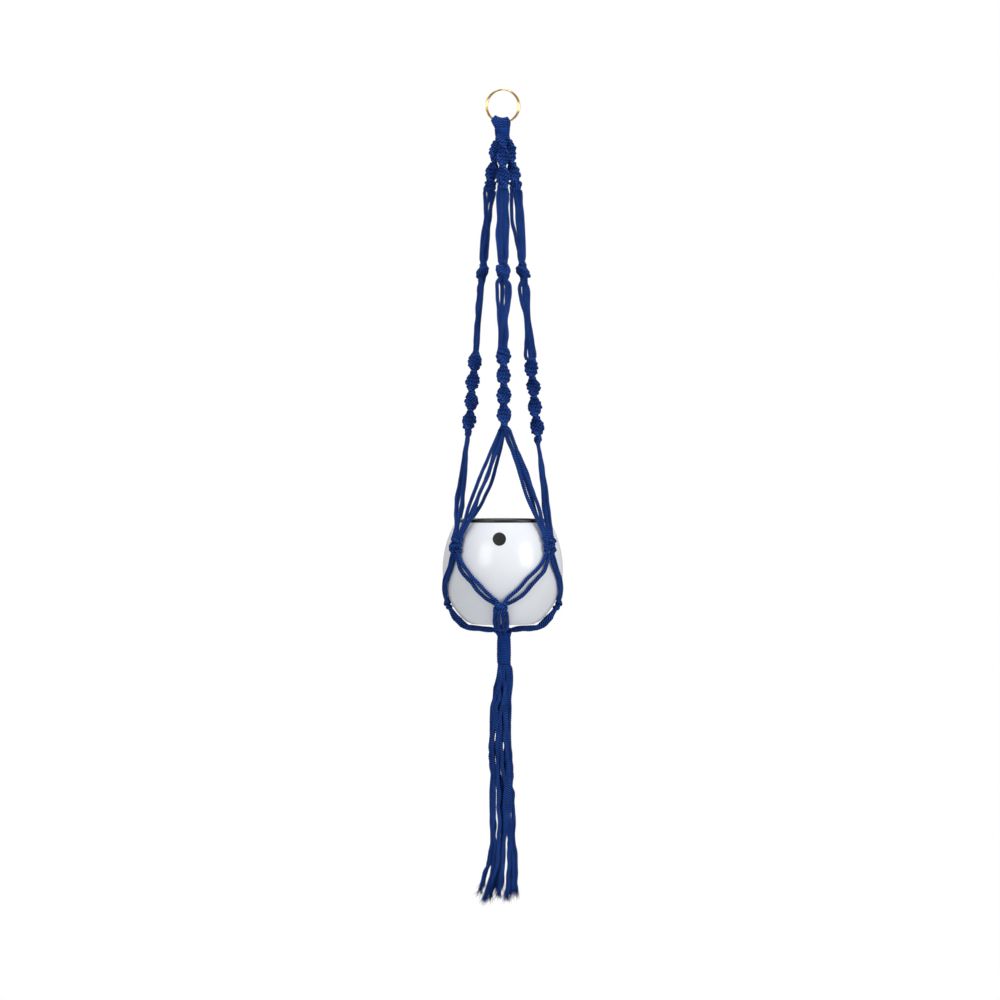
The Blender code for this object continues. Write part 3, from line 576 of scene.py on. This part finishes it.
# Under the pot: distance from the axis, depth below the base, and how much of their spread is left
GATHER = ((POT_BASE + 0.0012, R + 0.0012, 0.95), (POT_BASE - 0.006, R + 0.0018, 0.9),
          (0.026, R + 0.0024, 0.68), (0.0155, R + 0.0036, 0.42), (0.0095, 0.0082, 0.32),
          (0.0058, 0.0150, 0.22), (0.0042, 0.0240, 0.2), (0.0040, 0.0420, 0.2))
strand_lists = {}
for arm, azimuth in CRADLE_BEARING.items():
    dice = np.random.default_rng(int(azimuth) + 1300)
    pairs = dict(hung[arm])
    # The pair from the knot at the lower azimuth comes in on the left, the other on the right
    four = [*pairs[1], *pairs[-1]]
    abreast = arm == "front"
    clear, knot_wide, knot_deep = (0.0060, 0.0064, 0.0031) if abreast else (0.0044, 0.0048, 0.0021)
    top, low = knot_ends(azimuth, cradle_height, clear, 0.0058, 0.0004)
    middle = knot_point(top, low, azimuth, 0, 0, 0)
    four = sorted(four, key=lambda strand: float((strand[-1] - middle).dot(sideways(azimuth))))
    four = half_knots(four, top, low, azimuth, 2, knot_wide, knot_deep, True)
    # The front four lie side by side. The others have rolled into two layers on the way under the base
    for strand, x, layer in zip(four, (-7.4, -2.5, 2.4, 7.3) if abreast else (-5.2, -2.2, 2.2, 5.2),
                                (0, 0, 0, 0) if abreast else (0, 1, 1, 0)):
        x, lift = x * 1e-3, layer * 0.0038
        for height, spread in ((cradle_height - 0.0125, 0.94), (0.009, 1.0), (0.003, 0.98)):
            bearing = azimuth + math.degrees(x * spread / np.linalg.norm(wall_point(azimuth, height, 0)[:2]))
            strand.append(wall_point(bearing, height, R + WALL_GAP + lift + dice.uniform(0, 0.0007)))
        for radius, drop, spread in GATHER:
            inner = 1.0 if abs(x) > 0.004 or radius > 0.012 else 0.45
            below = lift * 0.55 if radius > 0.012 else 0.0
            strand.append(outward(azimuth) * radius * inner + sideways(azimuth) * x * spread
                          + np.array((0.0014 if radius < 0.007 else 0, 0, pot_low[2] - drop - below)))
    strand_lists[arm] = four

for arm, four in strand_lists.items():
    dice = np.random.default_rng(int(ARMS[arm]) + 1700)
    parts = [f"{part}_{arm}" for part in (*KNOT_PARTS, "cradle_knot", "base_bundle")]
    parts += [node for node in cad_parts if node.startswith(f"leg_{arm}_to_")]
    for number, points in enumerate(four):
        line = restless(smooth_line(points, 0.0009), 0.0004, dice)
        piece = cord_mesh(f"strand_{arm}_{number + 1}", line, R, cord_cotton, 200 + number + len(arm) * 10)
        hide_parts(*parts)
        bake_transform(piece)
    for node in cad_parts:
        if node.startswith("cross_knot_") or node.startswith("cradle_leg_"):
            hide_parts(node)


# Ring loops: eight cords are folded in half over the lower turn of the ring, pressed against each other,
# and their sixteen ends go down into the top wrap, where they are the strands of the arms.
ring_low, ring_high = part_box("ring")
ring_centre = np.array((0, 0, (ring_low[2] + ring_high[2]) / 2))
WIRE = 0.0019                                     # half the ring's thickness
ring_radius = (ring_high[2] - ring_low[2]) / 2 - WIRE
wrap_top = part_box("top_wrap")[1][2]
for k in range(8):
    dice = np.random.default_rng(700 + k)
    angle = math.radians(-33 + 52 * k / 7 + dice.uniform(-1, 1))
    inward = np.array((-math.sin(angle), 0, math.cos(angle)))
    wire = ring_centre - inward * ring_radius
    foot = (-6.9 + 13.8 * k / 7) * 1e-3
    layer = 0.0046 if k % 2 else 0.0036
    front, back = np.array((0, -1, 0)), np.array((0, 1, 0))
    route = [(foot * 0.8, -layer * 0.7, wrap_top - 0.011), (foot, -layer * 0.9, wrap_top - 0.0015),
             wire + front * 0.0044 - inward * 0.0012 + np.array((foot * 0.1, 0, 0)),
             wire + front * 0.0038 + inward * 0.0029, wire + inward * 0.0043,
             wire + back * 0.0038 + inward * 0.0029, wire + back * 0.0044 - inward * 0.0012,
             (foot, layer * 0.9, wrap_top - 0.0015), (foot * 0.8, layer * 0.7, wrap_top - 0.011)]
    line = smooth_line(route, 0.0006)
    piece = cord_mesh(f"ring_loop_{k + 1}", line, 0.00205, cord_cotton, 730 + k,
                      flat=(math.cos(angle), 0, math.sin(angle)), squeeze=0.88)
    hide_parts("cord_loops")
    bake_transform(piece)


# Wraps: one length of the cord is wound tightly round all sixteen strands, under the ring and again under
# the pot, and its ends are pulled back inside, so only close level turns are seen.
# The darkest and lightest of these colours are painted shade in the grooves between plies and painted light
# on their crests, here only faintly, round the dyed navy.
wrap_cotton = twisted_cotton("Navy_wrapped_cotton", "01061A", "12357E", "2F60B0", 0.0003, 0.2)


def wound(name, top, low, radii, turns, shift, seed):
    """A cord wound down from top to low at these radii, shift off the axis, with both ends tucked in."""
    pitch = (top - low) / turns
    route = [(0.0015, 0.0, top - 2.2 * pitch), (0.0030, 0.0010, top - 1.2 * pitch)]
    count = int(turns * 14)
    for i in range(count + 1):
        share = i / count
        turn = 2 * math.pi * turns * share + 0.6
        radius = np.interp(share, np.linspace(0, 1, len(radii)), radii)
        z = top - pitch * 0.5 - (top - low - pitch) * share
        route.append((radius * math.cos(turn), radius * math.sin(turn), z))
    route += [(0.0030, 0.0010, low + 1.2 * pitch), (0.0015, 0.0, low + 2.2 * pitch)]
    route = np.array(route) + (shift, 0, 0)
    return cord_mesh(name, smooth_line(route, 0.0008), pitch * 0.53, wrap_cotton, seed, plump=0.10)


top_box, base_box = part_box("top_wrap"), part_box("base_wrap")
top_wrap = wound("top_wrap_cord", top_box[1][2] + 0.0008, top_box[0][2] - 0.0004,
                 (0.0080, 0.0079, 0.0074, 0.0070, 0.0068), 6, -0.0006, 810)
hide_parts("top_wrap")
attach(top_wrap, "hanger")
base_wrap = wound("base_wrap_cord", base_box[1][2] + 0.001, base_box[0][2] - 0.0005,
                  (0.0060, 0.0067, 0.0070, 0.0070, 0.0068), 12, 0.0014, 820)
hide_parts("base_wrap")
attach(base_wrap, "wrap")


# Ring: a split ring of flattened spring wire, wound two turns and plated in pale gold. The plating is
# bright, with faint drawing marks along the wire.
made, tree, surface = material("Pale_gold_plated_steel")
spot = add(tree, "TexCoord").outputs["Object"]
marks = add(tree, "TexNoise", {"Vector": spot, "Scale": 900.0, "Detail": 3.0}).outputs["Fac"]
tarnish = add(tree, "TexNoise", {"Vector": spot, "Scale": 160.0, "Detail": 2.0}).outputs["Fac"]
shader = add(tree, "BsdfPrincipled", {
    "Base Color": add(tree, "ValToRGB", {"Fac": tarnish},
                      [(0.3, "BE9452"), (0.55, "D4B074"), (0.8, "E2C693")]).outputs["Color"],
    "Metallic": 1.0,
    "Roughness": add(tree, "Math", {0: marks, 1: 0.12, 2: 0.16}, operation="MULTIPLY_ADD").outputs[0],
    "Normal": add(tree, "Bump", {"Height": marks, "Strength": 0.06, "Distance": 0.0001}).outputs["Normal"]})
tree.links.new(shader.outputs["BSDF"], surface)
gold = made

TURN_GAP = 0.00165                                # from the middle of one turn to the next
SPLAY = 0.0012                                    # how far each turn stands off the ring's middle
SEAM, ASKEW = 97, 1.5                             # degrees: where the wire ends, and how it hangs
bpy.ops.object.select_all(action="DESELECT")
bpy.ops.mesh.primitive_circle_add(vertices=20, radius=1, fill_type="NOTHING", location=(0, 0, 0))
ring = bpy.context.object
ring.name = ring.data.name = "split_ring"
bpy.ops.object.mode_set(mode="EDIT")
bpy.ops.mesh.select_all(action="SELECT")
bpy.ops.transform.resize(value=(0.00085, 0.0008, 1))
bpy.ops.transform.translate(value=(ring_radius - 0.0002, 0, 0))
bpy.ops.object.mode_set(mode="OBJECT")
# The section lies across the wire and is carried two turns round the Z axis, then stood up on Y
bpy.ops.transform.rotate(value=math.pi / 2, orient_axis="X", center_override=(0, 0, 0))
bpy.ops.object.transform_apply(location=False, rotation=True, scale=False)
bpy.ops.object.modifier_add(type="SCREW")
screw = ring.modifiers[-1]
screw.axis, screw.angle, screw.screw_offset = "Z", 2 * math.pi, TURN_GAP
screw.iterations, screw.steps, screw.render_steps = 2, 96, 96
screw.use_merge_vertices = False
bpy.ops.object.modifier_apply(modifier=screw.name)
# The turns have been prised open and stand a little apart from side to side
for vertex in ring.data.vertices:
    vertex.co.y += (vertex.co.z / TURN_GAP - 1) * SPLAY
bpy.ops.object.mode_set(mode="EDIT")
bpy.ops.mesh.select_all(action="SELECT")
bpy.ops.mesh.remove_doubles(threshold=1e-6)
bpy.ops.mesh.select_all(action="DESELECT")
bpy.ops.mesh.select_non_manifold()
bpy.ops.mesh.edge_face_add()
bpy.ops.mesh.select_all(action="SELECT")
bpy.ops.transform.translate(value=(0, 0, -TURN_GAP))
bpy.ops.transform.rotate(value=math.radians(SEAM), orient_axis="Z", center_override=(0, 0, 0))
bpy.ops.transform.rotate(value=math.pi / 2, orient_axis="X", center_override=(0, 0, 0))
# It hangs a little askew, so the edges of both turns are seen
bpy.ops.transform.rotate(value=math.radians(ASKEW), orient_axis="Z", center_override=(0, 0, 0))
bpy.ops.transform.translate(value=tuple(ring_centre))
bpy.ops.mesh.normals_make_consistent(inside=False)
bpy.ops.object.mode_set(mode="OBJECT")
bpy.ops.object.shade_smooth_by_angle(angle=math.radians(40))
ring.data.materials.append(gold)
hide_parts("ring")
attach(ring, "ring")


# Pot: a spun steel bowl, white enamelled inside and out. The enamel is thick and glossy, with the faint
# waviness of a fired coat.
def enamel(name, body, shade, gloss, coat):
    """Fired enamel: one colour with a slight cloudiness, a deep gloss, and a shallow orange peel."""
    made, tree, surface = material(name)
    spot = add(tree, "TexCoord").outputs["Object"]
    cloud = add(tree, "TexNoise", {"Vector": spot, "Scale": 18.0, "Detail": 3.0}).outputs["Fac"]
    peel = add(tree, "TexNoise", {"Vector": spot, "Scale": 240.0, "Detail": 1.0}).outputs["Fac"]
    shader = add(tree, "BsdfPrincipled", {
        "Base Color": add(tree, "ValToRGB", {"Fac": cloud}, [(0.35, shade), (0.65, body)]).outputs["Color"],
        "Roughness": add(tree, "Math", {0: cloud, 1: 0.08, 2: gloss}, operation="MULTIPLY_ADD").outputs[0],
        "Normal": add(tree, "Bump", {"Height": peel, "Strength": 0.12, "Distance": 0.0003}).outputs["Normal"],
        "IOR": 1.52, "Coat Weight": coat, "Coat Roughness": 0.06})
    tree.links.new(shader.outputs["BSDF"], surface)
    return made


white_enamel = enamel("White_fired_enamel", "F0F2F6", "EBEEF3", 0.20, 0.12)
black_enamel = enamel("Black_fired_enamel", "08080A", "040405", 0.30, 0.05)
FLOOR_RISE = 0.0006                               # the middle of the base stands off the cords
SHEET = 0.0012                                    # thickness of the steel
wall = [(h, np.linalg.norm(wall_point(0, h, 0)[:2])) for h in np.linspace(0.0032, POT_TALL - 0.0022, 30)]
corner = [(0.0, POT_BASE - 0.0042), (0.0004, POT_BASE - 0.0022), (0.0014, POT_BASE - 0.0005)]
bpy.ops.object.select_all(action="DESELECT")
bpy.ops.mesh.primitive_circle_add(vertices=144, radius=0.012, fill_type="NGON",
                                  location=(0, 0, pot_low[2] + FLOOR_RISE))
pot = bpy.context.object
pot.name = pot.data.name = "pot_shell"
bpy.ops.object.mode_set(mode="EDIT")
bpy.ops.mesh.select_all(action="DESELECT")
bpy.ops.mesh.select_mode(type="EDGE")
bpy.ops.mesh.select_non_manifold()
height, radius = FLOOR_RISE, 0.012
for new_height, new_radius in [(FLOOR_RISE, 0.026), (0.0004, 0.031), *corner, *wall]:
    bpy.ops.mesh.extrude_edges_move(TRANSFORM_OT_translate={"value": (0, 0, new_height - height)})
    bpy.ops.transform.resize(value=(new_radius / radius, new_radius / radius, 1),
                             center_override=(0, 0, pot_low[2] + new_height))
    height, radius = new_height, new_radius
bpy.ops.mesh.select_all(action="SELECT")
bpy.ops.mesh.normals_make_consistent(inside=False)
bpy.ops.object.mode_set(mode="OBJECT")
bpy.ops.object.transform_apply(location=True, rotation=True, scale=True)
bpy.ops.object.modifier_add(type="SOLIDIFY")
pot.modifiers[-1].thickness = SHEET
pot.modifiers[-1].offset = -1
bpy.ops.object.modifier_apply(modifier=pot.modifiers[-1].name)
bpy.ops.object.shade_smooth_by_angle(angle=math.radians(35))
pot.data.materials.append(white_enamel)
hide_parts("pot")
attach(pot, "pot")


# Rim: the edge of the bowl is rolled outwards over a wire and dipped in black enamel. It is one sheet
# with the wall, and the lip of the roll closes on the wall in a fine groove.
rim_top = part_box("pot_rim")[1][2]
ROLL = 0.0030                                     # radius of the rolled edge
roll_height = rim_top - 0.0031
bpy.ops.object.select_all(action="DESELECT")
bpy.ops.mesh.primitive_torus_add(major_segments=144, minor_segments=20, major_radius=POT_RIM + 0.0003,
                                 minor_radius=ROLL, location=(0, 0, roll_height))
rim = bpy.context.object
rim.name = rim.data.name = "rolled_rim"
bpy.ops.object.mode_set(mode="EDIT")
bpy.ops.mesh.select_all(action="SELECT")
bpy.ops.transform.resize(value=(1, 1, 1.04), center_override=(0, 0, roll_height))
bpy.ops.mesh.select_all(action="DESELECT")
bpy.ops.object.mode_set(mode="OBJECT")
bpy.ops.object.transform_apply(location=True, rotation=True, scale=True)
# The band of faces low on the outside is drawn in to make the groove
for face in rim.data.polygons:
    x, y, z = face.center
    reach = math.hypot(x, y) - POT_RIM
    face.select = bool(0.0002 < reach < 0.0012 and z < rim_top - 0.0040)
bpy.ops.object.mode_set(mode="EDIT")
bpy.ops.mesh.select_mode(type="FACE")
bpy.ops.mesh.inset(thickness=0.00012, depth=-0.0004, use_boundary=True)
bpy.ops.mesh.select_all(action="SELECT")
bpy.ops.mesh.normals_make_consistent(inside=False)
bpy.ops.object.mode_set(mode="OBJECT")
bpy.ops.object.shade_smooth_by_angle(angle=math.radians(50))
rim.data.materials.append(black_enamel)
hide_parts("pot_rim")
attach(rim, "pot")


# Disc: a plain round spot of black enamel, fired on the front of the pot under the rim. It is a film
# 0.3 mm thick that follows the curve of the wall.
bpy.ops.object.select_all(action="DESELECT")
dot_middle = node_middle("pot_dot")
DISC = 0.0080                                     # radius
bpy.ops.mesh.primitive_circle_add(vertices=64, radius=DISC, fill_type="NGON",
                                  location=(dot_middle[0], dot_middle[1] - 0.012, dot_middle[2]),
                                  rotation=(math.pi / 2, 0, 0))
dot = bpy.context.object
dot.name = dot.data.name = "enamel_disc"
bpy.ops.object.transform_apply(location=True, rotation=True, scale=True)
bpy.ops.object.mode_set(mode="EDIT")
bpy.ops.mesh.select_all(action="SELECT")
for step in range(6):
    bpy.ops.mesh.inset(thickness=0.0012)
bpy.ops.mesh.select_all(action="DESELECT")
bpy.ops.object.mode_set(mode="OBJECT")
bpy.ops.object.modifier_add(type="SHRINKWRAP")
fit = dot.modifiers[-1]
fit.target, fit.wrap_method, fit.offset = pot, "PROJECT", 0.00012
fit.use_project_y, fit.use_negative_direction, fit.use_positive_direction = True, True, True
bpy.ops.object.modifier_apply(modifier=fit.name)
bpy.ops.object.modifier_add(type="SOLIDIFY")
dot.modifiers[-1].thickness, dot.modifiers[-1].offset = 0.0003, 0
bpy.ops.object.modifier_apply(modifier=dot.modifiers[-1].name)
bpy.ops.object.shade_smooth_by_angle(angle=math.radians(50))
dot.data.materials.append(black_enamel)
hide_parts("pot_dot")
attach(dot, "pot")


# Floor: a round of pale studio board well below the planter, with the faint tooth of uncoated board.
# It is no part of the planter, which hangs clear of it.
made, tree, surface = material("Pale_studio_board")
spot = add(tree, "TexCoord").outputs["Object"]
grain = add(tree, "TexNoise", {"Vector": spot, "Scale": 60.0, "Detail": 4.0}).outputs["Fac"]
shader = add(tree, "BsdfPrincipled", {
    "Base Color": add(tree, "ValToRGB", {"Fac": grain}, [(0.3, "EDEDEE"), (0.7, "F3F3F3")]).outputs["Color"],
    "Roughness": 0.9,
    "Normal": add(tree, "Bump", {"Height": grain, "Strength": 0.05, "Distance": 0.001}).outputs["Normal"]})
tree.links.new(shader.outputs["BSDF"], surface)
bpy.ops.object.select_all(action="DESELECT")
FLOOR_RADIUS, FLOOR_DEPTH = 2.9, 1.75             # metres, from the axis and below the hook
bpy.ops.mesh.primitive_circle_add(vertices=96, radius=FLOOR_RADIUS, fill_type="NGON",
                                  location=(0, 0, -FLOOR_DEPTH))
floor_board = bpy.context.object
floor_board.name = floor_board.data.name = "floor_board"
bpy.ops.object.mode_set(mode="EDIT")
bpy.ops.mesh.select_all(action="SELECT")
bpy.ops.mesh.inset(thickness=0.4)
bpy.ops.object.mode_set(mode="OBJECT")
bpy.ops.object.transform_apply(location=True, rotation=True, scale=True)
floor_board.data.materials.append(made)


# Light: two soft boxes in front, a broad one above and a weak one behind, in a white room. The room is
# bright to look at, dimmer in reflections, and lights the planter only softly.
SOFT_ROOM, MIRRORED = 0.32, 0.3                   # the room's strength as light, and its share in reflections
for name, place, turn, size, power in (
        ("key", (1.75, -1.62, 0.10), (77, 0, 47), (0.9, 0.9), 25),
        ("fill", (-1.35, -1.95, 0.16), (74, 0, -35), (1.0, 1.0), 14),
        ("overhead", (0.0, -0.5, 1.35), (18, 0, 0), (1.4, 1.0), 20),
        ("behind", (-0.6, 2.3, 0.5), (70, 0, 195), (1.0, 1.2), 18)):
    bpy.ops.object.light_add(type="AREA", location=place, rotation=[math.radians(a) for a in turn])
    light = bpy.context.object
    light.name = light.data.name = name
    light.data.shape = "RECTANGLE"
    light.data.size, light.data.size_y = size
    light.data.energy = power
world = bpy.data.worlds.new("white_room")
bpy.context.scene.world = world
world.use_nodes = True
tree = world.node_tree
soft = tree.nodes["Background"]
soft.inputs["Color"].default_value = linear("F4F6FA")
soft.inputs["Strength"].default_value = SOFT_ROOM
bright = add(tree, "Background", {"Color": linear("FFFFFF"), "Strength": 1.0})
rays = add(tree, "LightPath").outputs
seen = add(tree, "Math", {0: rays["Is Glossy Ray"], 1: MIRRORED, 2: rays["Is Camera Ray"]},
           operation="MULTIPLY_ADD").outputs[0]
room = add(tree, "MixShader", {0: seen})
tree.links.new(soft.outputs[0], room.inputs[1])
tree.links.new(bright.outputs[0], room.inputs[2])
tree.links.new(room.outputs[0], tree.nodes["World Output"].inputs["Surface"])
bpy.context.scene.view_settings.view_transform = "Standard"
